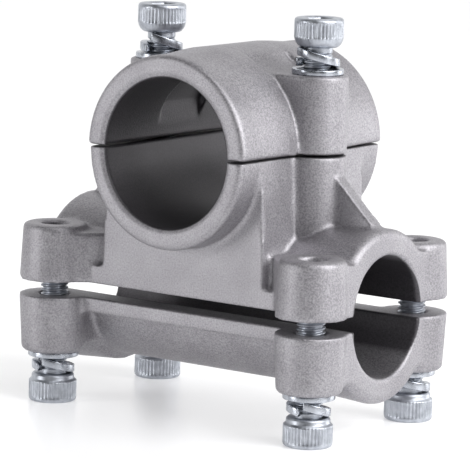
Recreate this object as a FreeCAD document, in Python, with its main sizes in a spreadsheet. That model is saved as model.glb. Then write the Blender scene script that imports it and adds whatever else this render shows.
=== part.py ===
import FreeCAD, Part
import os
import re
import Sketcher

# Handlebar clamp bracket: three castings and six screws that cross-clamp two tubes.
# Millimetres, +Z up. The origin is on the surface that the four lower screw heads stand on.
# The shaft bore runs along Y through the top, the handlebar bore along X through the bottom.

doc = FreeCAD.newDocument("clamp_bracket")

# Driving dimensions
SIZES = {
    # shaft clamp
    "shaft_bore_radius": 13.0,
    "collar_wall": 3.45,
    "cap_collar_wall": 3.9,
    "collar_length": 41.5,
    "shaft_split_gap": 0.3,
    "rim_height": 0.6,
    "rim_width": 1.2,
    "rim_slope": 1.2,
    "valley_half_width": 5.9,
    "cap_valley_depth": 0.9,
    "lug_half_width": 5.4,
    "lug_spacing": 34.0,
    "lug_height": 13.7,
    "crown_half_width": 5.9,
    "crown_blend_width": 5.4,
    "core_half_width": 12.7,
    "core_depth": 1.3,
    # body block
    "axis_height": 25.4,
    "block_depth": 30.0,
    "groove_depth": 1.5,
    "trunk_spread": 1.3,
    "foot_height": 3.2,
    "gusset_thickness": 2.8,
    "gusset_rise": 21.8,
    "gusset_inset": 2.4,
    # handlebar clamp
    "bar_bore_radius": 9.5,
    "bar_bore_inset": 0.2,
    "hub_wall": 3.8,
    "hub_end_wall": 4.4,
    "hub_length": 66.0,
    "pipe_wall": 2.5,
    "bar_split_gap": 2.7,
    "flange_height": 2.7,
    "cap_step_width": 1.2,
    "ear_length": 10.7,
    "ear_height": 8.8,
    "web_start": 10.0,
    "web_inset_x": 4.3,
    "web_inset_y": 3.4,
    "boss_inset": 5.1,
    "boss_spacing_y": 30.5,
    "boss_radius": 6.2,
    "boss_draft": 3.0,
    "body_boss_height": 10.0,
    "cap_boss_height": 10.2,
    # edges of the castings
    "mouth_round": 0.4,
    "collar_round": 1.0,
    "lug_round": 0.5,
    "boss_round": 0.9,
    "face_round": 1.5,
    # screws and washers
    "shank_radius": 2.45,
    "thread_clearance": 0.05,
    "screw_hole_clearance": 0.3,
    "head_radius": 4.25,
    "head_height": 5.0,
    "head_neck_radius": 3.8,
    "head_neck_height": 1.3,
    "head_edge": 0.35,
    "socket_flats": 4.0,
    "socket_depth": 2.5,
    "thread_chamfer": 0.6,
    "lower_screw_length": 25.0,
    "upper_screw_length": 25.0,
    "tapped_depth": 11.0,
    "washer_radius": 4.5,
    "washer_thickness": 1.0,
    "washer_clearance": 0.2,
    "spring_width": 1.2,
    "spring_thickness": 1.3,
    "lower_spring_rise": 1.8,
    "upper_spring_rise": 2.4,
    "spring_clearance": 0.15,
    "spring_turn": 345.0,
    # where the springs' gaps face, in degrees from the right
    "front_gap_angle": -65.0,
    "rear_gap_angle": 70.0,
    "left_gap_angle": -82.0,
    "right_gap_angle": -129.0,
}

sheet = doc.addObject("Spreadsheet::Sheet", "Sizes")
for row, (word, value) in enumerate(SIZES.items(), start=1):
    sheet.set("A%d" % row, word)
    sheet.set("B%d" % row, str(value))
    sheet.setAlias("B%d" % row, word)
doc.recompute()


reading = doc.addObject("Spreadsheet::Sheet", "Reading")
WORD = re.compile(r"[a-z]+(?:_[a-z]+)+")


def with_sheet(formula):
    """The formula with each of its words pointing at the sheet of sizes."""
    return WORD.sub(lambda found: "Sizes." + found.group(0), formula)


def number(formula):
    """Present value of a formula of sheet words, for where a sketch's points start."""
    reading.set("A1", "=" + with_sheet(formula))
    reading.recompute()
    return float(reading.get("A1"))


def bind(thing, path, formula):
    """Ties a property or a sketch constraint to a formula of sheet words."""
    thing.setExpression(path, with_sheet(formula))


def new_body(name):
    """One separate piece."""
    body = doc.addObject("PartDesign::Body", name)
    body.Label = name
    return body


def new_sketch(body, name, plane, height=None):
    """Sketch on one of the body's own origin planes, or at a height above it."""
    sketch = body.newObject("Sketcher::SketchObject", name)
    support = next(item for item in body.Origin.OriginFeatures if item.Role == plane)
    sketch.AttachmentSupport = (support, [""])
    sketch.MapMode = "FlatFace"
    if height is not None:
        bind(sketch, "AttachmentOffset.Base.z", height)
    return sketch


def dimension(sketch, kind, geometry, point, formula):
    """Ties one coordinate of a point of the sketch, measured from the sketch's origin."""
    constraint = Sketcher.Constraint(kind, -1, 1, geometry, point, number(formula))
    index = sketch.addConstraint(constraint)
    if WORD.search(formula):
        bind(sketch, "Constraints[%d]" % index, formula)


def tie_point(sketch, geometry, point, across, up):
    dimension(sketch, "DistanceX", geometry, point, across)
    dimension(sketch, "DistanceY", geometry, point, up)


def add_circle(sketch, across, up, radius):
    centre = FreeCAD.Vector(number(across), number(up), 0)
    geometry = sketch.addGeometry(Part.Circle(centre, FreeCAD.Vector(0, 0, 1), number(radius)))
    tie_point(sketch, geometry, 3, across, up)
    index = sketch.addConstraint(Sketcher.Constraint("Radius", geometry, number(radius)))
    bind(sketch, "Constraints[%d]" % index, radius)


def arc_between(start, end, radius, turn):
    """Arc of under half a turn from start to end; turn is 1 anticlockwise and -1 clockwise."""
    chord = end - start
    middle = (start + end) * 0.5
    side = FreeCAD.Vector(-chord.y, chord.x, 0).normalize()
    rise = max(radius ** 2 - chord.Length ** 2 / 4, 0) ** 0.5
    centre = middle + side * rise * turn
    first, last = (start, end) if turn > 0 else (end, start)
    circle = Part.Circle(centre, FreeCAD.Vector(0, 0, 1), radius)
    return Part.ArcOfCircle(circle, circle.parameter(first), circle.parameter(last))


def add_outline(sketch, corners):
    """Closed outline. A corner is (across, up), or (across, up, radius, turn) where an arc leaves it."""
    points = [FreeCAD.Vector(number(corner[0]), number(corner[1]), 0) for corner in corners]
    ends = []
    for index, corner in enumerate(corners):
        start = points[index]
        end = points[(index + 1) % len(points)]
        if len(corner) == 2:
            geometry = sketch.addGeometry(Part.LineSegment(start, end))
            ends.append((geometry, 1, 2))
        else:
            radius, turn = corner[2], corner[3]
            geometry = sketch.addGeometry(arc_between(start, end, number(radius), turn))
            ends.append((geometry, 1, 2) if turn > 0 else (geometry, 2, 1))
            tied = sketch.addConstraint(Sketcher.Constraint("Radius", geometry, number(radius)))
            bind(sketch, "Constraints[%d]" % tied, radius)
    for index, corner in enumerate(corners):
        geometry, first, last = ends[index]
        before = ends[index - 1]
        sketch.addConstraint(Sketcher.Constraint("Coincident", before[0], before[2], geometry, first))
        tie_point(sketch, geometry, first, corner[0], corner[1])


def finish(feature, body, removes):
    """Recomputes a feature and checks that it really added or removed material."""
    before = body.Tip.BaseFeature.Shape.Volume if body.Tip.BaseFeature else 0.0
    doc.recompute()
    change = feature.Shape.Volume - before
    if (change > -1e-6) if removes else (change < 1e-6):
        raise RuntimeError("%s changed the volume by %.4f" % (feature.Label, change))
    return feature


def pad(body, name, sketch, length, symmetric=False, reverse=False, draft=None):
    feature = body.newObject("PartDesign::Pad", name)
    feature.Profile = sketch
    feature.SideType = "Symmetric" if symmetric else "One side"
    feature.Reversed = reverse
    bind(feature, "Length", length)
    if draft is not None:
        bind(feature, "TaperAngle", draft)
    return finish(feature, body, False)


def pocket(body, name, sketch, length, symmetric=False, reverse=False):
    feature = body.newObject("PartDesign::Pocket", name)
    feature.Profile = sketch
    feature.SideType = "Symmetric" if symmetric else "One side"
    feature.Reversed = reverse
    bind(feature, "Length", length)
    return finish(feature, body, True)


def turn_profile(body, name, sketch, axis, angle=360.0):
    feature = body.newObject("PartDesign::Revolution", name)
    feature.Profile = sketch
    feature.ReferenceAxis = (sketch, [axis])
    feature.Angle = angle
    feature.Midplane = angle < 360.0
    return finish(feature, body, False)


def round_edges(body, name, radius, chosen):
    """Fillet on the edges of the body that the test picks."""
    shape = body.Tip.Shape
    edges = ["Edge%d" % (index + 1) for index, edge in enumerate(shape.Edges) if chosen(edge)]
    if not edges:
        raise RuntimeError("%s found no edge" % name)
    feature = body.newObject("PartDesign::Fillet", name)
    feature.Base = (body.Tip.BaseFeature if body.Tip == feature else body.Tip, edges)
    bind(feature, "Radius", radius)
    doc.recompute()
    if "Invalid" in feature.State or not feature.Shape.isValid():
        raise RuntimeError("%s failed on %d edges" % (name, len(edges)))
    return feature


def round_edge_of(edge, radius):
    """True for a circular edge of the given radius."""
    return isinstance(edge.Curve, Part.Circle) and abs(edge.Curve.Radius - radius) < 1e-4


def at_collar_end(edge, radius):
    """True for the arcs of that radius at either end of the shaft collar."""
    middle = edge.CenterOfMass
    return round_edge_of(edge, number(radius)) and abs(abs(middle.y) - number("collar_length / 2")) < 1e-4


def on_lug_top(edge):
    """True for the outline of the flat lug tops, apart from the screw holes and the crown."""
    box = edge.BoundBox
    level = box.ZLength < 1e-6 and abs(box.ZMax - number("lug_height")) < 1e-6
    lengthwise = box.XLength < 1e-6
    hole = round_edge_of(edge, number("shank_radius + screw_hole_clearance"))
    return level and not lengthwise and not hole


def handlebar_rounds(body, side):
    """Rounds of the cast hub, ears and bosses of one half of the handlebar clamp."""
    half_length = number("hub_length / 2")
    top = side * number("body_boss_height" if side > 0 else "cap_boss_height")

    def hub_end(edge):
        middle = edge.CenterOfMass
        return round_edge_of(edge, number(HUB_END)) and abs(abs(middle.x) - half_length) < 1e-4

    def bore_mouth(edge):
        middle = edge.CenterOfMass
        return round_edge_of(edge, number("bar_bore_radius")) and abs(abs(middle.x) - half_length) < 1e-4

    def boss_rim(edge):
        hole = edge.BoundBox.XLength < number("boss_radius")
        return isinstance(edge.Curve, Part.Circle) and not hole and abs(edge.CenterOfMass.z - top) < 1e-4

    round_edges(body, "BossRounds", "boss_round", boss_rim)
    round_edges(body, "HubEndRounds", "face_round", hub_end)
    round_edges(body, "HandlebarMouthRounds", "mouth_round", bore_mouth)


COLLAR = "(shaft_bore_radius + collar_wall)"
CAP_COLLAR = "(shaft_bore_radius + cap_collar_wall)"
RIM = "(shaft_bore_radius + cap_collar_wall + rim_height)"
LUG_X = "(lug_spacing / 2)"
HUB = "(bar_bore_radius + hub_wall)"
HUB_END = "(bar_bore_radius + hub_end_wall)"
PIPE = "(bar_bore_radius + pipe_wall)"
EAR_START = "(hub_length / 2 - ear_length)"
BOSS_X = "(hub_length / 2 - boss_inset)"
BOSS_Y = "(boss_spacing_y / 2)"
SPLIT = "(axis_height - shaft_split_gap / 2)"
STACK = "(head_height + lower_spring_rise + spring_thickness + washer_thickness)"
CAP_SPLIT = "(" + STACK + " + cap_boss_height)"
BODY_UNDERSIDE = "(" + CAP_SPLIT + " + bar_split_gap)"
SIDES = (("left", -1), ("right", 1))
ENDS = (("front", -1), ("rear", 1))


def handlebar_ears(body, side):
    """Hub over the handlebar with four screw bosses; side 1 stands up from the split, -1 hangs down."""
    up = "" if side > 0 else "-"
    flare_start, flare_end = COLLAR, EAR_START
    if side < 0:
        flare_start, flare_end = EAR_START, EAR_START + " + cap_step_width"
    flare = [
        ("hub_length / 2", "0"), ("hub_length / 2", up + HUB_END),
        (flare_end, up + HUB), (flare_start, up + PIPE),
    ]
    hub = new_sketch(body, "HubProfile", "XZ_Plane")
    add_outline(hub, flare + [("-(" + across + ")", height) for across, height in reversed(flare)])
    turn_profile(body, "Hub", hub, "H_Axis", 180.0)
    ears = new_sketch(body, "EarPlan", "XY_Plane")
    for sign in ("", "-"):
        outer = sign + "(hub_length / 2)"
        inner = sign + EAR_START
        add_outline(ears, [
            (outer, "-" + BOSS_Y), (outer, BOSS_Y), (inner, BOSS_Y), (inner, "-" + BOSS_Y),
        ])
    pad(body, "Ears", ears, "ear_height", reverse=side < 0)
    bosses = new_sketch(body, "BossPlan", "XY_Plane")
    for across in ("-" + BOSS_X, BOSS_X):
        for along in ("-" + BOSS_Y, BOSS_Y):
            add_circle(bosses, across, along, "boss_radius")
    height = "body_boss_height" if side > 0 else "cap_boss_height"
    pad(body, "Bosses", bosses, height, reverse=side < 0, draft="-boss_draft")


def handlebar_bore(body, side):
    """Half bore for the handlebar, its axis a little inside the split so that the halves can clamp."""
    bore = new_sketch(body, "HandlebarBore", "YZ_Plane")
    centre = "-bar_bore_inset" if side > 0 else "bar_bore_inset"
    add_circle(bore, "0", centre, "bar_bore_radius")
    pocket(body, "HandlebarBoreCut", bore, "hub_length + 2 * boss_radius", symmetric=True)


def screw_holes(body, name, radius, depth, side, reach_x, reach_y=None, height=None):
    """Plain holes at that reach either side of the middle, in one row where there is no second reach."""
    plan = new_sketch(body, name + "Plan", "XY_Plane", height)
    rows = ("0",) if reach_y is None else ("-" + reach_y, reach_y)
    for across in ("-" + reach_x, reach_x):
        for along in rows:
            add_circle(plan, across, along, radius)
    return pocket(body, name, plan, depth, reverse=side > 0)


def build_body():
    """Middle casting: z = 0 is its underside, the face towards the bottom cap."""
    body = new_body("body")
    handlebar_ears(body, 1)
    block = "(block_depth / 2)"
    inner = "(" + COLLAR + " - groove_depth)"
    trunk = new_sketch(body, "TrunkPlan", "XY_Plane")
    add_outline(trunk, [
        (COLLAR, "-" + block), (COLLAR, "-valley_half_width"), (inner, "-valley_half_width"),
        (inner, "-lug_half_width"), (LUG_X, "-lug_half_width", "lug_half_width", 1),
        (LUG_X + " + lug_half_width", "0", "lug_half_width", 1),
        (LUG_X, "lug_half_width"), (inner, "lug_half_width"), (inner, "valley_half_width"),
        (COLLAR, "valley_half_width"), (COLLAR, block), ("-" + COLLAR, block),
        ("-" + COLLAR, "valley_half_width"), ("-" + inner, "valley_half_width"),
        ("-" + inner, "lug_half_width"), ("-" + LUG_X, "lug_half_width", "lug_half_width", 1),
        ("-" + LUG_X + " - lug_half_width", "0", "lug_half_width", 1),
        ("-" + LUG_X, "-lug_half_width"), ("-" + inner, "-lug_half_width"),
        ("-" + inner, "-valley_half_width"), ("-" + COLLAR, "-valley_half_width"),
        ("-" + COLLAR, "-" + block),
    ])
    pad(body, "Trunk", trunk, SPLIT)
    for name, sign in (("FrontSpread", ""), ("RearSpread", "-")):
        spread = new_sketch(body, name + "Shape", "XZ_Plane", sign + block)
        for side in ("", "-"):
            add_outline(spread, [
                (side + "(" + COLLAR + " + trunk_spread)", "0"), (side + COLLAR, SPLIT),
                (side + inner, SPLIT), (side + inner, "0"),
            ])
        pad(body, name, spread, block + " - valley_half_width", reverse=not sign)
    collar = new_sketch(body, "CollarSection", "XZ_Plane")
    add_outline(collar, [
        (COLLAR, SPLIT), ("-" + COLLAR, SPLIT), ("-" + COLLAR, "axis_height - shaft_split_gap", COLLAR, 1),
        ("0", "axis_height - shaft_split_gap - " + COLLAR, COLLAR, 1),
        (COLLAR, "axis_height - shaft_split_gap"),
    ])
    pad(body, "Collar", collar, "collar_length", symmetric=True)
    foot = new_sketch(body, "FootPlan", "XY_Plane")
    add_outline(foot, [
        (EAR_START, "-" + block), (EAR_START, block),
        ("-" + EAR_START, block), ("-" + EAR_START, "-" + block),
    ])
    pad(body, "Foot", foot, "foot_height")
    webs = new_sketch(body, "WebPlan", "XY_Plane")
    for sign in ("", "-"):
        middle = sign + BOSS_X
        corner = sign + "(" + BOSS_X + " - web_inset_x)"
        add_outline(webs, [
            (sign + inner, "-web_start"), (corner, "-" + BOSS_Y + " - web_inset_y"),
            (middle, "-" + BOSS_Y), (middle, BOSS_Y),
            (corner, BOSS_Y + " + web_inset_y"), (sign + inner, "web_start"),
        ])
    pad(body, "Webs", webs, "ear_height")
    gussets = new_sketch(body, "GussetShape", "XZ_Plane")
    for sign in ("", "-"):
        lug_side = sign + "(" + LUG_X + " + lug_half_width)"
        reach = sign + "(hub_length / 2 - gusset_inset)"
        add_outline(gussets, [
            (sign + LUG_X, "bar_bore_radius + hub_wall / 2"), (reach, "bar_bore_radius + hub_wall / 2"),
            (reach, HUB_END), (lug_side, "gusset_rise"), (sign + LUG_X, "gusset_rise"),
        ])
    pad(body, "Gussets", gussets, "gusset_thickness", symmetric=True)
    bore = new_sketch(body, "ShaftBore", "XZ_Plane")
    add_circle(bore, "0", "axis_height", "shaft_bore_radius")
    pocket(body, "ShaftBoreCut", bore, "collar_length + 2 * collar_wall", symmetric=True)
    handlebar_bore(body, 1)
    thread = "shank_radius + thread_clearance"
    screw_holes(body, "LowerTappedHoles", thread, "body_boss_height", 1, BOSS_X, BOSS_Y)
    screw_holes(body, "UpperTappedHoles", thread, "tapped_depth", -1, LUG_X, height=SPLIT)
    round_edges(body, "CollarRounds", "collar_round", lambda edge: at_collar_end(edge, COLLAR))
    round_edges(body, "MouthRounds", "mouth_round", lambda edge: at_collar_end(edge, "shaft_bore_radius"))
    handlebar_rounds(body, 1)
    bind(body, "Placement.Base.z", BODY_UNDERSIDE)
    return body


def build_bottom_cap():
    """Lower half of the handlebar clamp: z = 0 is its split face, and it hangs below."""
    body = new_body("bottom_cap")
    handlebar_ears(body, -1)
    flange = new_sketch(body, "FlangePlan", "XY_Plane")
    add_outline(flange, [
        (EAR_START, "-block_depth / 2"), (EAR_START, "block_depth / 2"),
        ("-" + EAR_START, "block_depth / 2"), ("-" + EAR_START, "-block_depth / 2"),
    ])
    pad(body, "Flange", flange, "flange_height", reverse=True)
    handlebar_bore(body, -1)
    hole = "shank_radius + screw_hole_clearance"
    screw_holes(body, "ScrewHoles", hole, "cap_boss_height", -1, BOSS_X, BOSS_Y)
    handlebar_rounds(body, -1)
    bind(body, "Placement.Base.z", CAP_SPLIT)
    return body


def build_top_cap():
    """Upper half of the shaft clamp: z = 0 is the shaft's axis."""
    body = new_body("top_cap")
    rim_start = "(valley_half_width + rim_width)"
    profile = new_sketch(body, "CollarProfile", "YZ_Plane")
    end = "(collar_length / 2)"
    core = "(shaft_bore_radius - mouth_round)"
    corners = [
        (end, core), (end, CAP_COLLAR), (rim_start + " + rim_slope", CAP_COLLAR), (rim_start, RIM),
        ("valley_half_width", RIM), ("valley_half_width", CAP_COLLAR + " - cap_valley_depth"),
    ]
    mirrored = [("-(" + across + ")", up) for across, up in reversed(corners)]
    add_outline(profile, corners + mirrored)
    turn_profile(body, "Collar", profile, "H_Axis", 180.0)
    crown = new_sketch(body, "CrownSection", "XZ_Plane")
    crown_z = "(" + RIM + "^2 - crown_half_width^2)^0.5"
    blend_end = "crown_half_width + crown_blend_width"
    drop = "(" + crown_z + " - lug_height)"
    blend = "(crown_blend_width^2 + " + drop + "^2) / (2 * " + drop + ")"
    add_outline(crown, [
        (LUG_X, "0"), (LUG_X, "lug_height"), (blend_end, "lug_height", blend, -1),
        ("crown_half_width", crown_z, RIM, 1), ("0", RIM, RIM, 1),
        ("-crown_half_width", crown_z, blend, -1), ("-(" + blend_end + ")", "lug_height"),
        ("-" + LUG_X, "lug_height"), ("-" + LUG_X, "0"),
    ])
    pad(body, "Crown", crown, "2 * lug_half_width", symmetric=True)
    lugs = new_sketch(body, "LugPlan", "XY_Plane")
    add_circle(lugs, LUG_X, "0", "lug_half_width")
    add_circle(lugs, "-" + LUG_X, "0", "lug_half_width")
    pad(body, "Lugs", lugs, "lug_height")
    bore = new_sketch(body, "ShaftBore", "XZ_Plane")
    add_circle(bore, "0", "0", "shaft_bore_radius")
    pocket(body, "ShaftBoreCut", bore, "collar_length + 2 * collar_wall", symmetric=True)
    core_radius = "(shaft_bore_radius + core_depth)"
    core_side = "(" + core_radius + "^2 - core_half_width^2)^0.5"
    recess = new_sketch(body, "RoofRecess", "XZ_Plane")
    add_outline(recess, [
        ("core_half_width", "0"), ("core_half_width", core_side, core_radius, 1),
        ("0", core_radius, core_radius, 1), ("-core_half_width", core_side), ("-core_half_width", "0"),
    ])
    pocket(body, "RoofRecessCut", recess, "2 * valley_half_width", symmetric=True)
    gap = new_sketch(body, "SplitGap", "XY_Plane")
    wide = "(" + LUG_X + " + 2 * lug_half_width)"
    add_outline(gap, [
        (wide, "-collar_length"), (wide, "collar_length"),
        ("-" + wide, "collar_length"), ("-" + wide, "-collar_length"),
    ])
    pocket(body, "SplitGapCut", gap, "shaft_split_gap / 2", reverse=True)
    screw_holes(body, "ScrewHoles", "shank_radius + screw_hole_clearance", "lug_height", 1, LUG_X)
    round_edges(body, "CollarRounds", "collar_round", lambda edge: at_collar_end(edge, CAP_COLLAR))
    round_edges(body, "MouthRounds", "mouth_round", lambda edge: at_collar_end(edge, "shaft_bore_radius"))
    round_edges(body, "LugRounds", "lug_round", on_lug_top)
    bind(body, "Placement.Base.z", BODY_UNDERSIDE + " + axis_height")
    return body


def build_screw(name, length):
    """Socket cap screw: z = 0 is the bearing face, the shank points up and the head down."""
    body = new_body(name)
    profile = new_sketch(body, "Profile", "XZ_Plane")
    add_outline(profile, [
        ("0", "-head_height"), ("head_radius - head_edge", "-head_height"),
        ("head_radius", "head_edge - head_height"), ("head_radius", "-head_neck_height"),
        ("head_neck_radius", "head_edge - head_neck_height"), ("head_neck_radius", "-head_edge"),
        ("head_neck_radius - head_edge", "0"), ("shank_radius", "0"),
        ("shank_radius", length + " - thread_chamfer"),
        ("shank_radius - thread_chamfer", length), ("0", length),
    ])
    turn_profile(body, "Turned", profile, "V_Axis")
    hexagon = new_sketch(body, "SocketShape", "XY_Plane", "-head_height")
    flat = "socket_flats / 2"
    corner = "socket_flats / 3^0.5"
    half_corner = "socket_flats / (2 * 3^0.5)"
    add_outline(hexagon, [
        (corner, "0"), (half_corner, flat), ("-" + half_corner, flat),
        ("-" + corner, "0"), ("-" + half_corner, "-" + flat), (half_corner, "-" + flat),
    ])
    pocket(body, "Socket", hexagon, "socket_depth", reverse=True)
    return body


def build_flat_washer(name):
    body = new_body(name)
    ring = new_sketch(body, "Ring", "XY_Plane")
    add_circle(ring, "0", "0", "washer_radius")
    add_circle(ring, "0", "0", "shank_radius + washer_clearance")
    pad(body, "Disc", ring, "washer_thickness")
    return body


def build_spring_washer(name, rise):
    """Split ring of square wire, one open left-hand turn that rises as it goes round."""
    body = new_body(name)
    section = new_sketch(body, "Section", "XZ_Plane")
    inner = "shank_radius + spring_clearance"
    outer = "shank_radius + spring_clearance + spring_width"
    add_outline(section, [
        (inner, "0"), (outer, "0"), (outer, "spring_thickness"), (inner, "spring_thickness"),
    ])
    coil = body.newObject("PartDesign::AdditiveHelix", "Coil")
    coil.Profile = section
    coil.ReferenceAxis = (section, ["V_Axis"])
    coil.Mode = "height-turns-angle"
    coil.LeftHanded = True
    bind(coil, "Height", rise)
    bind(coil, "Turns", "spring_turn / 360")
    finish(coil, body, False)
    return body


def fastener_set(place, across, along, height, level, gap_angle, turned):
    """Screw, spring washer and flat washer on one axis; turned has the head on top."""
    upright = FreeCAD.Rotation(FreeCAD.Vector(1, 0, 0), 180.0 if turned else 0.0)
    rotation = FreeCAD.Rotation(FreeCAD.Vector(0, 0, 1), number(gap_angle)).multiply(upright)
    rise = level + "_spring_rise"
    sign = "-" if turned else "+"
    pieces = (
        (build_screw(place, level + "_screw_length"), "0"),
        (build_spring_washer(place.replace("screw", "spring_washer"), rise), "0"),
        (build_flat_washer(place.replace("screw", "flat_washer")), "(" + rise + " + spring_thickness)"),
    )
    for piece, offset in pieces:
        piece.Placement = FreeCAD.Placement(FreeCAD.Vector(), rotation)
        bind(piece, "Placement.Base.x", across)
        bind(piece, "Placement.Base.y", along)
        bind(piece, "Placement.Base.z", "%s %s %s" % (height, sign, offset))
    return [piece for piece, offset in pieces]


pieces = [build_body(), build_top_cap(), build_bottom_cap()]
for end_word, end_sign in ENDS:
    for side_word, side_sign in SIDES:
        pieces += fastener_set(
            "bottom_screw_%s_%s" % (end_word, side_word),
            "%d * %s" % (side_sign, BOSS_X), "%d * %s" % (end_sign, BOSS_Y),
            "head_height", "lower", end_word + "_gap_angle", False)
TOP_BEARING = (BODY_UNDERSIDE + " + axis_height + lug_height"
               " + washer_thickness + upper_spring_rise + spring_thickness")
for side_word, side_sign in SIDES:
    pieces += fastener_set(
        "top_screw_%s" % side_word, "%d * %s" % (side_sign, LUG_X), "0",
        TOP_BEARING, "upper", side_word + "_gap_angle", True)

doc.recompute()
for item in doc.Objects:
    if "Invalid" in item.State or "Error" in item.State:
        raise RuntimeError("%s failed: %s" % (item.Label, item.State))
os.makedirs("parts", exist_ok=True)
for piece in pieces:
    shape = piece.Shape
    if shape.isNull() or not shape.isValid():
        raise RuntimeError("%s has no valid shape" % piece.Label)
    shape.exportStep("parts/%s.step" % piece.Label)
    print("%-34s volume %9.1f" % (piece.Label, shape.Volume))
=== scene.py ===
import math

import bmesh
import bpy
import numpy as np
from mathutils import Matrix, Vector


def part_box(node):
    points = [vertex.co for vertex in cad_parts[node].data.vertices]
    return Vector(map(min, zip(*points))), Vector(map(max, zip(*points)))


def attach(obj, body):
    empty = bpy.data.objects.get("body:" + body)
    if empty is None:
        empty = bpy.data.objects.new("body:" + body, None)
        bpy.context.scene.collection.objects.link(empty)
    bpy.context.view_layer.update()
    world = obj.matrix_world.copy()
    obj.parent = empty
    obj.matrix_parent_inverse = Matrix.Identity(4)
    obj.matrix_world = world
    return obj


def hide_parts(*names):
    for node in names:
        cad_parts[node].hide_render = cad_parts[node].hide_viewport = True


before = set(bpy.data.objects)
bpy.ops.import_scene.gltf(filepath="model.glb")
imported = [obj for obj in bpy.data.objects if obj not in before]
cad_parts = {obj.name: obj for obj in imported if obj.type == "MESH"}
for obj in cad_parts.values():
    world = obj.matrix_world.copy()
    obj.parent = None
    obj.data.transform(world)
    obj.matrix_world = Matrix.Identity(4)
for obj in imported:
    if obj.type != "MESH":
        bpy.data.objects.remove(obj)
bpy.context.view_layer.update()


# Body casting: the cross-shaped block that holds the lower half of the shaft bore and the
# upper half of the handlebar bore, with four tapped bosses and two lugs for the top cap.
# Cast in aluminium and blasted, so every edge and inner corner is softly rounded.

MM = 0.001              # lengths are written in millimetres and worked out in metres
BODY_CELL = 0.44 * MM   # the mesh cell that the casting's skin is worked in
BODY_SOFTENING = 1      # rounds of evening out, which give every edge its cast radius


def add_object(name, data):
    """An object of the given data, in the scene."""
    thing = bpy.data.objects.new(name, data)
    bpy.context.scene.collection.objects.link(thing)
    return thing


def points_of(mesh):
    """A mesh's points as rows of x, y and z."""
    points = np.empty(len(mesh.vertices) * 3)
    mesh.vertices.foreach_get("co", points)
    return points.reshape(-1, 3)


def move_points(mesh, points):
    """Sets a mesh's points to rows of x, y and z."""
    mesh.vertices.foreach_set("co", points.ravel())
    mesh.update()


def softened_skin(name, node, cell, rounds):
    """The solid's surface as an even mesh of small cells, with each point moved half way to the
    mean of its neighbours a number of times, so that edges and corners take a cast radius of
    about the cell times the root of the rounds."""
    source = add_object(name + "_source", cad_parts[node].data.copy())
    shell = bmesh.new()
    shell.from_mesh(source.data)
    bmesh.ops.remove_doubles(shell, verts=shell.verts, dist=0.001 * MM)
    shell.to_mesh(source.data)
    shell.free()
    remesh = source.modifiers.new("Even cells", "REMESH")
    remesh.mode = "VOXEL"
    remesh.voxel_size = cell
    graph = bpy.context.evaluated_depsgraph_get()
    mesh = bpy.data.meshes.new_from_object(source.evaluated_get(graph))
    bpy.data.objects.remove(source)

    points = points_of(mesh)
    ends = np.empty(len(mesh.edges) * 2, np.int64)
    mesh.edges.foreach_get("vertices", ends)
    near, far = ends.reshape(-1, 2).T
    count = np.bincount(near, minlength=len(points)) + np.bincount(far, minlength=len(points))
    for _ in range(rounds):
        total = np.stack([
            np.bincount(near, points[far, axis], len(points))
            + np.bincount(far, points[near, axis], len(points))
            for axis in range(3)
        ], axis=1)
        points += 0.5 * (total / count[:, None] - points)
    move_points(mesh, points)
    mesh.shade_smooth()
    mesh.materials.clear()
    mesh.name = name
    return add_object(name, mesh)


def linear(hex_colour):
    """sRGB hex to linear RGBA: below 0.04045 divide by 12.92, above it ((c + 0.055) / 1.055) to the
    power 2.4."""
    channels = [int(hex_colour[i:i + 2], 16) / 255 for i in (1, 3, 5)]
    return [c / 12.92 if c <= 0.04045 else ((c + 0.055) / 1.055) ** 2.4 for c in channels] + [1.0]


def new_material(name):
    """A material without nodes."""
    material = bpy.data.materials.new(name)
    material.use_nodes = True
    material.node_tree.nodes.clear()
    return material


def add_node(material, kind, settings=None, links=None):
    """Adds one shader node: settings are its properties and input values, and links are the outputs
    that feed its inputs. An input goes by its name or its number."""
    node = material.node_tree.nodes.new(kind)
    for key, value in (settings or {}).items():
        if isinstance(key, str) and key not in node.inputs:
            setattr(node, key, value)
        else:
            node.inputs[key].default_value = value
    for key, output in (links or {}).items():
        material.node_tree.links.new(output, node.inputs[key])
    return node


# Blasted cast aluminium: a dull, slightly lilac grey. The blasting leaves fine dimples that
# scatter light, so highlights are broad and single grains flash. Painted shade darkens the two
# bores, the core under the crown and the seam, which are also made less metallic and less rough.
NOISE_LOW, NOISE_HIGH = 0.3, 0.7   # nearly all of a noise texture's values lie between these
CASTING_GRAIN = 0.3 * MM           # width of one dimple, coarser than a real one so that it shows
DIMPLE_DEPTH, DIMPLE_STRENGTH = 0.08 * MM, 0.4
CASTING_SHADE, CASTING_LIGHT = "#908E92", "#BFBDC1"
CASTING_SMOOTH, CASTING_DULL = 0.5, 0.62
CLOUD_WIDTH = 6.25 * MM
CLOUD_TINT, CLOUD_STRENGTH = "#C5C3C6", 0.3
# Painted shade: the dark tint laid on the bores, the core under the crown and the seam.
PAINTED_SHADE_TINT = "#6F6D70"
PAINTED_SHADE_METAL = 0.45            # less metal where shade is painted, for an even dark tone
PAINTED_SHADE_DULLNESS = 0.8          # roughness where shade is painted, as a share of the blasted surface's
PAINTED_SHADE_FADE = 0.2 * MM               # width over which the painted shade fades out

SHAFT_AXIS_HEIGHT = 47.4 * MM
SHAFT_BORE = 13.15 * MM
CORE_RADIUS = 14.6 * MM
CORE_HALF_WIDTH = 6.3 * MM
SEAM_HALF_HEIGHT = 0.22 * MM
BAR_AXIS_HEIGHT = 20.8 * MM
BAR_BORE = 10.3 * MM

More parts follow.
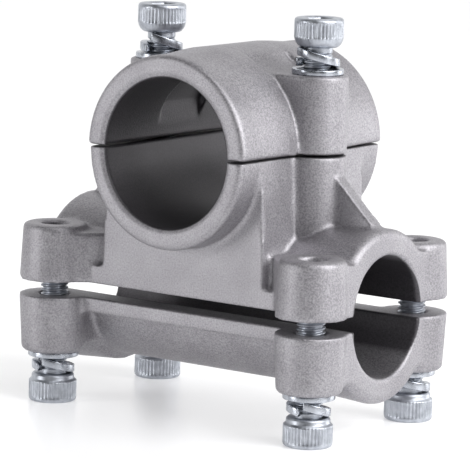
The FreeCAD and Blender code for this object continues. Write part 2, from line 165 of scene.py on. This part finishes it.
blasted = new_material("Blasted cast aluminium")
place = add_node(blasted, "ShaderNodeTexCoord").outputs["Object"]
grains = add_node(
    blasted, "ShaderNodeTexNoise", {"Scale": 1 / CASTING_GRAIN, "Detail": 2.0, "Roughness": 0.6},
    {"Vector": place},
).outputs["Fac"]
clouds = add_node(
    blasted, "ShaderNodeTexNoise", {"Scale": 1 / CLOUD_WIDTH, "Detail": 3.0}, {"Vector": place},
).outputs["Fac"]
tone = add_node(blasted, "ShaderNodeValToRGB", {}, {"Fac": grains})
low_stop, high_stop = tone.color_ramp.elements
low_stop.position, low_stop.color = NOISE_LOW, linear(CASTING_SHADE)
high_stop.position, high_stop.color = NOISE_HIGH, linear(CASTING_LIGHT)
cloudy = add_node(
    blasted, "ShaderNodeMapRange",
    {"From Min": NOISE_LOW, "From Max": NOISE_HIGH, "To Min": 0.0, "To Max": CLOUD_STRENGTH},
    {"Value": clouds},
)
clouded = add_node(
    blasted, "ShaderNodeMix", {"data_type": "RGBA", "blend_type": "MULTIPLY", 7: linear(CLOUD_TINT)},
    {0: cloudy.outputs["Result"], 6: tone.outputs["Color"]},
)


def nearness(mask, height, reach):
    """1 within the reach of a line or plane and 0 outside it, fading over the width of the painted
    shade's fade. The distance is the length of the place, less the height, times the mask, whose
    zeros lie along the line or plane."""
    shifted = add_node(
        blasted, "ShaderNodeVectorMath", {"operation": "SUBTRACT", 1: (0, 0, height)}, {0: place},
    )
    across = add_node(
        blasted, "ShaderNodeVectorMath", {"operation": "MULTIPLY", 1: mask}, {0: shifted.outputs[0]},
    )
    distance = add_node(blasted, "ShaderNodeVectorMath", {"operation": "LENGTH"}, {0: across.outputs[0]})
    return add_node(
        blasted, "ShaderNodeMapRange",
        {"From Min": reach, "From Max": reach + PAINTED_SHADE_FADE, "To Min": 1.0, "To Max": 0.0},
        {"Value": distance.outputs["Value"]},
    ).outputs["Result"]


in_bore = nearness((1, 0, 1), SHAFT_AXIS_HEIGHT, SHAFT_BORE)
in_bar_bore = nearness((0, 1, 1), BAR_AXIS_HEIGHT, BAR_BORE)
in_core_ring = nearness((1, 0, 1), SHAFT_AXIS_HEIGHT, CORE_RADIUS)
in_core_width = nearness((0, 1, 0), 0, CORE_HALF_WIDTH)
in_seam = nearness((0, 0, 1), SHAFT_AXIS_HEIGHT, SEAM_HALF_HEIGHT)
in_bores = add_node(blasted, "ShaderNodeMath", {"operation": "MAXIMUM"}, {0: in_bore, 1: in_bar_bore})
in_core = add_node(blasted, "ShaderNodeMath", {"operation": "MULTIPLY"}, {0: in_core_ring, 1: in_core_width})
in_gaps = add_node(
    blasted, "ShaderNodeMath", {"operation": "MAXIMUM"}, {0: in_core.outputs[0], 1: in_seam},
)
# Painted shade: the mask of the bores, the core under the crown and the seam, where the tone is darkened.
painted_shade_zone = add_node(
    blasted, "ShaderNodeMath", {"operation": "MAXIMUM"}, {0: in_bores.outputs[0], 1: in_gaps.outputs[0]},
).outputs[0]
# Painted shade: the grained tone is multiplied by the dark tint within the bores, the core and the seam.
colour = add_node(
    blasted, "ShaderNodeMix", {"data_type": "RGBA", "blend_type": "MULTIPLY", 7: linear(PAINTED_SHADE_TINT)},
    {0: painted_shade_zone, 6: clouded.outputs[2]},
)
dullness = add_node(
    blasted, "ShaderNodeMapRange",
    {"From Min": NOISE_LOW, "From Max": NOISE_HIGH, "To Min": CASTING_SMOOTH, "To Max": CASTING_DULL},
    {"Value": grains},
)
less_dull = add_node(
    blasted, "ShaderNodeMapRange", {"To Min": 1.0, "To Max": PAINTED_SHADE_DULLNESS}, {"Value": painted_shade_zone},
)
roughness = add_node(
    blasted, "ShaderNodeMath", {"operation": "MULTIPLY"},
    {0: dullness.outputs["Result"], 1: less_dull.outputs["Result"]},
)
# Less metal where shade is painted, so that the dark tint stays even.
metal_share = add_node(
    blasted, "ShaderNodeMapRange", {"To Min": 1.0, "To Max": PAINTED_SHADE_METAL}, {"Value": painted_shade_zone},
)
dimples = add_node(
    blasted, "ShaderNodeBump", {"Strength": DIMPLE_STRENGTH, "Distance": DIMPLE_DEPTH}, {"Height": grains},
)
metal = add_node(blasted, "ShaderNodeBsdfPrincipled", {}, {
    "Base Color": colour.outputs[2], "Metallic": metal_share.outputs["Result"],
    "Roughness": roughness.outputs[0], "Normal": dimples.outputs["Normal"],
})
add_node(blasted, "ShaderNodeOutputMaterial", {}, {"Surface": metal.outputs["BSDF"]})


def fit_casting(piece, node, body):
    """Gives a casting its skin's material and sets it in place of its solid."""
    piece.data.materials.append(blasted)
    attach(piece, body)
    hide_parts(node)


COLLAR_END = 20.75 * MM
BROKEN_EDGE_RADIUS = 13.9 * MM
BROKEN_EDGE_WIDTH = 0.9 * MM
BROKEN_EDGE_DEPTH = 0.55 * MM


def break_bore_edge(piece):
    """Breaks the shaft bore's sharp edge at both ends: within the broken edge's radius a point is
    held back from the collar's end by the depth times its share of the way in to the bore."""
    points = points_of(piece.data)
    from_axis = np.hypot(points[:, 0], points[:, 2] - SHAFT_AXIS_HEIGHT)
    inward = np.clip((BROKEN_EDGE_RADIUS - from_axis) / BROKEN_EDGE_WIDTH, 0, 1)
    reach = np.where(inward > 0, COLLAR_END - BROKEN_EDGE_DEPTH * inward, np.inf)
    points[:, 1] = np.sign(points[:, 1]) * np.minimum(np.abs(points[:, 1]), reach)
    move_points(piece.data, points)


body_casting = softened_skin("body_casting", "body", BODY_CELL, BODY_SOFTENING)
break_bore_edge(body_casting)
fit_casting(body_casting, "body", "bracket")


# Lower cap: the half pipe that closes the handlebar bore from below, with a flange and four
# bosses for the screws that pull it up. Cast and blasted like the body.

LOWER_CAP_CELL = 0.4 * MM
LOWER_CAP_SOFTENING = 1

lower_cap_casting = softened_skin("lower_cap_casting", "bottom_cap", LOWER_CAP_CELL, LOWER_CAP_SOFTENING)
fit_casting(lower_cap_casting, "bottom_cap", "lower_cap")


# Upper cap: the half ring that closes the shaft bore from above, with a raised rim, a crown
# and two lugs. It is cored out under the crown. Cast and blasted like the body.

UPPER_CAP_CELL = 0.36 * MM
UPPER_CAP_SOFTENING = 1
SWELL_START = 17.0 * MM    # lengths along the shaft, from the middle
SWELL_END = 7.7 * MM
RIM_SIDE = 6.2 * MM
SWELL_RISE = 0.6 * MM
COLLAR_INSIDE = 15.5 * MM  # radii from the shaft's axis
RIM_RADIUS = 17.5 * MM


def swell_collar(piece):
    """Swells the collar gently up to its rim: a point of its outside moves out from the shaft's axis
    by the rise times 3 t^2 - 2 t^3, for its share t of the way from the swell's start to its end,
    and none passes the rim."""
    points = points_of(piece.data)
    from_middle = np.abs(points[:, 1])
    from_axis = np.hypot(points[:, 0], points[:, 2] - SHAFT_AXIS_HEIGHT)
    share = np.clip((SWELL_START - from_middle) / (SWELL_START - SWELL_END), 0, 1)
    swollen = from_axis + SWELL_RISE * (3 * share ** 2 - 2 * share ** 3)
    outside = (from_axis > COLLAR_INSIDE) & (from_middle > RIM_SIDE)
    radius = np.where(outside, np.minimum(swollen, np.maximum(from_axis, RIM_RADIUS)), from_axis)
    axis = [0, SHAFT_AXIS_HEIGHT]
    points[:, [0, 2]] = (points[:, [0, 2]] - axis) * (radius / from_axis)[:, None] + axis
    move_points(piece.data, points)


upper_cap_casting = softened_skin("upper_cap_casting", "top_cap", UPPER_CAP_CELL, UPPER_CAP_SOFTENING)
swell_collar(upper_cap_casting)
break_bore_edge(upper_cap_casting)
fit_casting(upper_cap_casting, "top_cap", "upper_cap")


# Flat washers: steel rings, one between each spring washer and the casting. Stamped, tumbled so
# that their edges are a little rounded, and zinc plated, bright and slightly blue.

WASHER_EDGE = 0.18 * MM
EDGE_POINTS = 4
WASHER_COLUMNS = 112
ZINC_SHADE, ZINC_LIGHT = "#A0A4AC", "#C2C6CD"
RIPPLE_WIDTH = 1.2 * MM    # the faint waves in the plating
RIPPLE_DEPTH, RIPPLE_STRENGTH = 0.06 * MM, 0.2


def zinc_plating(name, smooth, dull):
    """Zinc plating on steel: a pale blue grey whose roughness waves between smooth and dull."""
    material = new_material(name)
    place = add_node(material, "ShaderNodeTexCoord").outputs["Object"]
    waves = add_node(
        material, "ShaderNodeTexNoise", {"Scale": 1 / RIPPLE_WIDTH, "Detail": 3.0, "Roughness": 0.55},
        {"Vector": place},
    ).outputs["Fac"]
    tone = add_node(material, "ShaderNodeValToRGB", {}, {"Fac": waves})
    low_stop, high_stop = tone.color_ramp.elements
    low_stop.position, low_stop.color = NOISE_LOW, linear(ZINC_SHADE)
    high_stop.position, high_stop.color = NOISE_HIGH, linear(ZINC_LIGHT)
    gloss = add_node(
        material, "ShaderNodeMapRange",
        {"From Min": NOISE_LOW, "From Max": NOISE_HIGH, "To Min": smooth, "To Max": dull},
        {"Value": waves},
    )
    ripples = add_node(
        material, "ShaderNodeBump", {"Strength": RIPPLE_STRENGTH, "Distance": RIPPLE_DEPTH},
        {"Height": waves},
    )
    metal = add_node(material, "ShaderNodeBsdfPrincipled", {"Metallic": 1.0}, {
        "Base Color": tone.outputs["Color"], "Roughness": gloss.outputs["Result"],
        "Normal": ripples.outputs["Normal"],
    })
    add_node(material, "ShaderNodeOutputMaterial", {}, {"Surface": metal.outputs["BSDF"]})
    return material


# Bright zinc plating: the stamped and wound steel stays smooth under it, so it mirrors the room.
bright_zinc = zinc_plating("Bright zinc plating on smooth steel", 0.22, 0.34)


def surface(name, grids):
    """One mesh of several grids of points, each (rows, columns, 3) and closed round its columns. Its
    rows are "open", closed to a "ring", or closed with "caps", a point in the middle of each end."""
    points, faces, start = [], [], 0
    for grid, ends in grids:
        rows, columns = grid.shape[:2]
        index = np.arange(rows * columns).reshape(rows, columns) + start
        below = index if ends == "ring" else index[:-1]
        above = np.roll(index, -1, axis=0) if ends == "ring" else index[1:]
        quads = np.stack([below, np.roll(below, -1, 1), np.roll(above, -1, 1), above], axis=-1)
        points.append(grid.reshape(-1, 3))
        faces += quads.reshape(-1, 4).tolist()
        start += rows * columns
        if ends == "caps":
            points.append(np.stack([grid[0].mean(0), grid[-1].mean(0)]))
            first, last = index[0], index[-1]
            faces += np.stack([np.roll(first, -1), first, np.full(columns, start)], axis=-1).tolist()
            faces += np.stack([last, np.roll(last, -1), np.full(columns, start + 1)], axis=-1).tolist()
            start += 2
    mesh = bpy.data.meshes.new(name)
    mesh.from_pydata(np.concatenate(points), [], faces)
    mesh.validate()
    mesh.shade_smooth()
    mesh.update()
    return add_object(name, mesh)


def rounded_outline(corners, radius):
    """A closed outline through corners (n, 2), with each corner replaced by an arc that is tangent to
    both its sides: points c + r (cos a, sin a) between the two tangent directions."""
    outline = []
    for i in range(len(corners)):
        before, corner, after = (np.array(corners[(i + k) % len(corners)], float) for k in (-1, 0, 1))
        back = (before - corner) / np.linalg.norm(before - corner)
        ahead = (after - corner) / np.linalg.norm(after - corner)
        half = math.acos(float(np.clip(back @ ahead, -1, 1))) / 2
        reach = radius / math.tan(half)
        centre = corner + (back + ahead) / np.linalg.norm(back + ahead) * radius / math.sin(half)
        first = corner + back * reach - centre
        last = corner + ahead * reach - centre
        mix = np.linspace(0, 1, EDGE_POINTS)[:, None]
        sweep = math.pi - 2 * half
        arc = (np.sin((1 - mix) * sweep) * first + np.sin(mix * sweep) * last) / math.sin(sweep)
        outline.append(centre + arc)
    return np.concatenate(outline)


def turned(outline, axis):
    """An outline of (radius, height) carried round an upright axis: x = ax + r cos t,
    y = ay + r sin t, z = h."""
    turn = np.linspace(0, 2 * math.pi, WASHER_COLUMNS, endpoint=False)[None, :]
    radius, height = outline[:, 0][:, None], outline[:, 1][:, None]
    return np.stack([
        axis[0] + radius * np.cos(turn), axis[1] + radius * np.sin(turn), height + 0 * turn,
    ], axis=-1)


def upright_axis(node):
    """The middle of a node's box, seen from above."""
    low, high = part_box(node)
    return (low.x + high.x) / 2, (low.y + high.y) / 2


def hole_radius(node):
    """The smallest distance of a round solid's points from its upright axis."""
    points = points_of(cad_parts[node].data)
    x, y = upright_axis(node)
    return float(np.hypot(points[:, 0] - x, points[:, 1] - y).min())


SCREWS = [
    ("top", "left", "upper_cap"), ("top", "right", "upper_cap"),
    ("bottom", "front_left", "lower_cap"), ("bottom", "front_right", "lower_cap"),
    ("bottom", "rear_left", "lower_cap"), ("bottom", "rear_right", "lower_cap"),
]

for level, where, cap in SCREWS:
    node = level + "_flat_washer_" + where
    low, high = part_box(node)
    inner, outer = hole_radius(node), (high.x - low.x) / 2
    corners = [(inner, low.z), (outer, low.z), (outer, high.z), (inner, high.z)]
    ring = turned(rounded_outline(corners, WASHER_EDGE), upright_axis(node))
    washer = surface(node + "_stamped", [(ring, "ring")])
    washer.data.materials.append(bright_zinc)
    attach(washer, cap)
    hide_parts(node)


# Spring washers: one left-hand turn of nearly square steel wire under each screw's head. Wound,
# cut and zinc plated, so the corners are a little rounded and the two cut ends stand apart.

WIRE_EDGE = 0.2 * MM
WIRE_WIDTH = 1.2 * MM
WIRE_HEIGHT = 1.45 * MM
SPRING_TURN = math.radians(345)
SPRING_ROWS = 110
SPRING_LEAN = {"top": 0.3, "bottom": 0.58}   # as shares of the rise
HIGH_SIDE = math.radians(230)                # the side that the lean lifts, the same for all six
GAP_ANGLES = {                               # degrees round the screw to the first cut end
    "left": -82, "right": -129,
    "front_left": -98, "front_right": -84, "rear_left": 70, "rear_right": 70,
}


def stood(points, axis, height, side, turn=0.0):
    """Points of a piece made upright at the origin, turned over about x for side -1, turned about
    the upright axis, and set on it at the height."""
    x, y, z = points[..., 0], points[..., 1] * side, points[..., 2] * side
    return np.stack([
        axis[0] + x * math.cos(turn) - y * math.sin(turn),
        axis[1] + x * math.sin(turn) + y * math.cos(turn),
        height + z,
    ], axis=-1)


def wound(outline, rise, lean, high_side):
    """An outline of (radius, height) carried along a left-hand helix: for t from 0 to 1 the angle is
    a = -turn t and the height grows as t + lean cos(a - high side), scaled to the whole rise."""
    share = np.linspace(0, 1, SPRING_ROWS)[:, None]
    angle = -SPRING_TURN * share
    climb = share + lean * np.cos(angle - high_side)
    climb = (climb - climb.min()) / (climb.max() - climb.min())
    radius, height = outline[:, 0][None, :], outline[:, 1][None, :]
    return np.stack([radius * np.cos(angle), radius * np.sin(angle), height + rise * climb], axis=-1)


for level, where, cap in SCREWS:
    node = level + "_spring_washer_" + where
    low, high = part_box(node)
    inner = hole_radius(node)
    outer = inner + WIRE_WIDTH
    corners = [(inner, 0), (outer, 0), (outer, WIRE_HEIGHT), (inner, WIRE_HEIGHT)]
    outline = rounded_outline(corners, WIRE_EDGE)
    side, foot = (1, low.z) if level == "bottom" else (-1, high.z)
    gap = math.radians(GAP_ANGLES[where])
    rise = high.z - low.z - WIRE_HEIGHT
    coil = wound(outline, rise, side * SPRING_LEAN[level], side * (HIGH_SIDE - gap))
    axis = upright_axis(level + "_screw_" + where)
    washer = surface(node + "_wound", [(stood(coil, axis, foot, side, gap), "caps")])
    washer.data.materials.append(bright_zinc)
    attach(washer, cap)
    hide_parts(node)


# Socket head screws: rolled steel, zinc plated, with a knurled head, a hexagon socket and a
# rolled M5 thread. They go through the caps into the body. The lower heads step in to a neck at
# the bearing face, and the upper ones are round below.

HEAD_HEIGHT = 5.0 * MM
HEAD_RADIUS = 4.25 * MM
TOP_ROUND = 0.5 * MM
SOCKET_FLAT = 2.0 * MM
SOCKET_DEPTH = 2.5 * MM
SOCKET_CONE = 0.45 * MM      # depth of the drill's cone in its floor
SOCKET_MOUTH = 2.55 * MM
SOCKET_CHAMFER = 0.28 * MM
KNURL_FLUTES = 42
KNURL_DEPTH = 0.13 * MM
KNURL_START = 0.55 * MM      # below the top face
KNURL_ROWS = 14
SHANK_RADIUS = 2.45 * MM
SHANK_ROOT = 0.3 * MM        # how far the shank goes on into the head, out of sight
SHANK_ROW = 0.1 * MM         # height between two rows of its points
THREAD_PITCH = 0.8 * MM
THREAD_DEPTH = 0.42 * MM
THREAD_START = 0.8 * MM      # the plain part under the head, and the length that the groove grows in
TIP_CHAMFER = 0.6 * MM
FLUTE_COLUMNS = 6
SHANK_COLUMNS = 48
HEAD_TURN = np.linspace(0, 2 * math.pi, KNURL_FLUTES * FLUTE_COLUMNS, endpoint=False)
SHANK_TURN = np.linspace(0, 2 * math.pi, SHANK_COLUMNS, endpoint=False)

# The head's underside, as millimetres out from the head's radius, millimetres above the bearing
# face, and the share of the flutes' depth.
STEPPED_FOOT = [
    (-0.12, 1.24, 0.15), (-0.39, 1.0, 0.0), (-0.45, 0.92, 0.0), (-0.47, 0.42, 0.0),
    (-0.53, 0.25, 0.0), (-0.75, 0.04, 0.0), (-0.81, 0.0, 0.0),
]
ROUNDED_FOOT = [
    (-0.04, 1.5, 0.3), (-0.1, 1.2, 0.12), (-0.2, 0.92, 0.0), (-0.34, 0.66, 0.0),
    (-0.52, 0.4, 0.0), (-0.74, 0.18, 0.0), (-0.98, 0.03, 0.0), (-1.1, 0.0, 0.0),
]

# Zinc plating over a rolled surface: the same colour, duller, so the light breaks up on it.
rolled_zinc = zinc_plating("Zinc plating on rolled steel", 0.34, 0.48)


def round_over(radius, height, size):
    """(radius, height, 0) rows of a quarter round that leaves the top face and turns down the side:
    the size times sin t out from its centre and cos t up."""
    turn = np.linspace(0, math.pi / 2, 5)
    return [(radius - size + size * math.sin(t), height - size + size * math.cos(t), 0.0) for t in turn]


def knurled_head(foot):
    """The head's skin from the middle of the socket to the bearing face, as rows of radius and height.
    Each row's radius is its own, less the flute depth times the row's share and (1 - cos n t) / 2 to
    the power 0.7 round the head, or the hexagon a / cos(t mod 60 - 30) down in the socket."""
    hexagon = SOCKET_FLAT / np.cos((HEAD_TURN % (math.pi / 3)) - math.pi / 6)
    flutes = ((1 - np.cos(KNURL_FLUTES * HEAD_TURN)) / 2) ** 0.7
    floor = HEAD_HEIGHT - SOCKET_DEPTH
    socket = [
        (0.05, floor - SOCKET_CONE), (0.97, floor),
        (1.0, floor + 0.05 * MM), (1.0, HEAD_HEIGHT - SOCKET_CHAMFER),
    ]
    rows = [np.stack([hexagon * share, 0 * hexagon + height]) for share, height in socket]
    rounds = [(SOCKET_MOUTH, HEAD_HEIGHT - 0.04 * MM, 0.0), (SOCKET_MOUTH + 0.08 * MM, HEAD_HEIGHT, 0.0)]
    rounds += round_over(HEAD_RADIUS - 0.02 * MM, HEAD_HEIGHT, TOP_ROUND)
    knurl_top, knurl_foot = HEAD_HEIGHT - KNURL_START, foot[0][1] * MM + 0.11 * MM
    for share in np.linspace(0, 1, KNURL_ROWS):
        ease = min(1.0, 6 * share, 9 * (1 - share) + 0.25)
        rounds.append((HEAD_RADIUS, knurl_top + (knurl_foot - knurl_top) * share, ease))
    rounds += [(HEAD_RADIUS + out * MM, height * MM, share) for out, height, share in foot]
    rounds.append((SHANK_RADIUS - SHANK_ROOT, 0.0, 0.0))
    rows += [
        np.stack([radius - KNURL_DEPTH * share * flutes, 0 * flutes + height])
        for radius, height, share in rounds
    ]
    radius, height = np.stack(rows, axis=1)
    return np.stack([radius * np.cos(HEAD_TURN), radius * np.sin(HEAD_TURN), height], axis=-1)


def threaded_shank(length):
    """The shank from inside the head to its tip. A right-hand thread: the radius falls from the
    crest by the depth times 0.5 - 0.8 cos a, held between 0 and 1, where a is 2 pi times the height
    over the pitch, less the turn."""
    height = np.linspace(SHANK_ROOT, -length, int(length / SHANK_ROW))[:, None]
    phase = 2 * math.pi * height / THREAD_PITCH - SHANK_TURN[None, :]
    groove = np.clip(0.5 - 0.8 * np.cos(phase), 0, 1)
    threaded = np.clip((-height - THREAD_START) / THREAD_START, 0, 1)
    radius = SHANK_RADIUS - THREAD_DEPTH * groove * threaded
    tip = SHANK_RADIUS - np.clip(TIP_CHAMFER - (height + length), 0, None)
    radius = np.minimum(radius, tip)
    return np.stack([
        radius * np.cos(SHANK_TURN), radius * np.sin(SHANK_TURN), height + 0 * SHANK_TURN,
    ], axis=-1)


for level, where, cap in SCREWS:
    node = level + "_screw_" + where
    low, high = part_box(node)
    axis = upright_axis(node)
    side = 1 if level == "top" else -1
    bearing = high.z - HEAD_HEIGHT if side > 0 else low.z + HEAD_HEIGHT
    length = high.z - low.z - HEAD_HEIGHT
    head = stood(knurled_head(ROUNDED_FOOT if side > 0 else STEPPED_FOOT), axis, bearing, side)
    shank = stood(threaded_shank(length), axis, bearing, side)
    screw = surface(node + "_rolled", [(head[:, ::-1], "caps"), (shank[:, ::-1], "caps")])
    screw.data.materials.append(rolled_zinc)
    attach(screw, ("upper_screw_" if level == "top" else "lower_screw_") + where)
    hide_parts(node)


# Floor, lamps and camera: a white acrylic sheet under four soft lamps, grey cloth round the
# camera's side and plain white behind, with the lens at the photograph's place.

CAMERA_AZIMUTH = 36.324      # degrees
CAMERA_ELEVATION = 8.801
CAMERA_ROLL = 1.565
CAMERA_DISTANCE = 0.615824   # metres
FOCUS_ACROSS = 0.000253
FOCUS_HEIGHT = 0.031157
LENS = 268.28                # millimetres, as the sensor
SENSOR = 36.0

azimuth, elevation, roll = (math.radians(a) for a in (CAMERA_AZIMUTH, CAMERA_ELEVATION, CAMERA_ROLL))
level_back = Vector((math.sin(azimuth), -math.cos(azimuth), 0))
back = level_back * math.cos(elevation) + Vector((0, 0, math.sin(elevation)))
right = Vector((math.cos(azimuth), math.sin(azimuth), 0))
up = back.cross(right)
across = right * math.cos(roll) + up * math.sin(roll)
upward = up * math.cos(roll) - right * math.sin(roll)
focus = right * FOCUS_ACROSS + Vector((0, 0, FOCUS_HEIGHT))
eye = focus + back * CAMERA_DISTANCE
camera_data = bpy.data.cameras.new("camera")
camera_data.lens = LENS
camera_data.sensor_width = SENSOR
camera_data.clip_start = 10 * MM
camera = add_object("camera", camera_data)
camera.matrix_world = Matrix((
    (across.x, upward.x, back.x, eye.x),
    (across.y, upward.y, back.y, eye.y),
    (across.z, upward.z, back.z, eye.z),
    (0, 0, 0, 1),
))
bpy.context.scene.camera = camera


def seen_directly(material):
    """1 for rays of the eye, of mirrors and of glass, and 0 for the light that falls on things."""
    ray = add_node(material, "ShaderNodeLightPath")
    eye_or_mirror = add_node(
        material, "ShaderNodeMath", {"operation": "MAXIMUM"},
        {0: ray.outputs["Is Camera Ray"], 1: ray.outputs["Is Glossy Ray"]},
    )
    return add_node(
        material, "ShaderNodeMath", {"operation": "MAXIMUM"},
        {0: eye_or_mirror.outputs[0], 1: ray.outputs["Is Transmission Ray"]},
    ).outputs[0]


FLOOR_HALF = 1.6             # metres
FLOOR_TONE = "#F0F0F1"
FLOOR_GLOW = 0.35            # for the eye and mirrors only, so it puts no light on the object
WHITE = (1, 1, 1, 1)
floor_corners = [(FLOOR_HALF * x, FLOOR_HALF * y, 0) for x, y in ((-1, -1), (1, -1), (1, 1), (-1, 1))]
floor_mesh = bpy.data.meshes.new("floor")
floor_mesh.from_pydata(floor_corners, [], [(0, 1, 2, 3)])
floor = add_object("floor", floor_mesh)

# White acrylic sheet: smooth and pale, with a faint mirror image under what stands on it.
acrylic = new_material("White acrylic floor")
sheet = add_node(
    acrylic, "ShaderNodeBsdfPrincipled", {"Base Color": linear(FLOOR_TONE), "Roughness": 0.25, "IOR": 1.49},
)
unlit = add_node(acrylic, "ShaderNodeEmission", {"Color": WHITE, "Strength": 0.0})
glow = add_node(acrylic, "ShaderNodeEmission", {"Color": WHITE, "Strength": FLOOR_GLOW})
glow_seen = add_node(
    acrylic, "ShaderNodeMixShader", {},
    {0: seen_directly(acrylic), 1: unlit.outputs[0], 2: glow.outputs[0]},
)
both = add_node(acrylic, "ShaderNodeAddShader", {}, {0: sheet.outputs[0], 1: glow_seen.outputs[0]})
add_node(acrylic, "ShaderNodeOutputMaterial", {}, {"Surface": both.outputs[0]})
floor_mesh.materials.append(acrylic)

MIDDLE = (0, 0, 35 * MM)      # of the object, where the lamps point


def lamp(name, place, width, height, power):
    """A rectangular soft lamp of width by height metres and a power in watts, turned to the middle
    of the object."""
    data = bpy.data.lights.new(name, "AREA")
    data.shape = "RECTANGLE"
    data.size, data.size_y, data.energy = width, height, power
    light = add_object(name, data)
    light.location = place
    light.rotation_euler = (Vector(MIDDLE) - Vector(place)).to_track_quat("-Z", "Y").to_euler()


lamp("right lamp", (0.53, 0.05, 0.34), 0.50, 0.40, 3.9)
lamp("rear lamp", (0.30, 0.54, 0.08), 0.25, 0.25, 0.6)
lamp("left lamp", (-0.36, -0.54, 0.16), 0.18, 0.35, 1.2)
lamp("top lamp", (0.28, -0.12, 0.60), 0.45, 0.45, 1.4)

# Grey cloth round the camera's side of the studio and overhead, open towards the white
# background behind the object: a part of a sphere whose pole is behind the camera. Its weave
# is too far from anything to show, so it is a plain grey.
CLOTH_RADIUS = 1.4           # metres
CLOTH_POLE = (0.59, -0.80, 0.1)
CLOTH_START = 0.02           # angles from the pole
CLOTH_REACH = math.radians(102)
CLOTH_ROWS, CLOTH_COLUMNS = 30, 60
CLOTH_GREY = "#424244"
pole = np.array(CLOTH_POLE)
pole /= np.linalg.norm(pole)
cloth_side = np.cross(pole, (0, 0, 1))
cloth_side /= np.linalg.norm(cloth_side)
cloth_up = np.cross(cloth_side, pole)
spread = np.linspace(CLOTH_START, CLOTH_REACH, CLOTH_ROWS)[:, None, None]
sweep = np.linspace(0, 2 * math.pi, CLOTH_COLUMNS, endpoint=False)[None, :, None]
sphere = CLOTH_RADIUS * (
    np.cos(spread) * pole + np.sin(spread) * (np.cos(sweep) * cloth_side + np.sin(sweep) * cloth_up)
)
cloth = surface("grey_cloth", [(sphere, "open")])
cloth.visible_camera = False
woven = new_material("Grey studio cloth")
cloth_tone = add_node(woven, "ShaderNodeEmission", {"Color": linear(CLOTH_GREY), "Strength": 1.0})
add_node(woven, "ShaderNodeOutputMaterial", {}, {"Surface": cloth_tone.outputs[0]})
cloth.data.materials.append(woven)

# The background: plain white for the eye and for what metal mirrors, and a soft fill light.
FILL_LIGHT = 0.5
world = bpy.data.worlds.new("studio")
bpy.context.scene.world = world
world.use_nodes = True
world.node_tree.nodes.clear()
fill = add_node(world, "ShaderNodeBackground", {"Color": WHITE, "Strength": FILL_LIGHT})
backdrop = add_node(world, "ShaderNodeBackground", {"Color": WHITE, "Strength": 1.0})
sky = add_node(
    world, "ShaderNodeMixShader", {}, {0: seen_directly(world), 1: fill.outputs[0], 2: backdrop.outputs[0]},
)
add_node(world, "ShaderNodeOutputWorld", {}, {"Surface": sky.outputs[0]})

bpy.context.scene.view_settings.view_transform = "Standard"
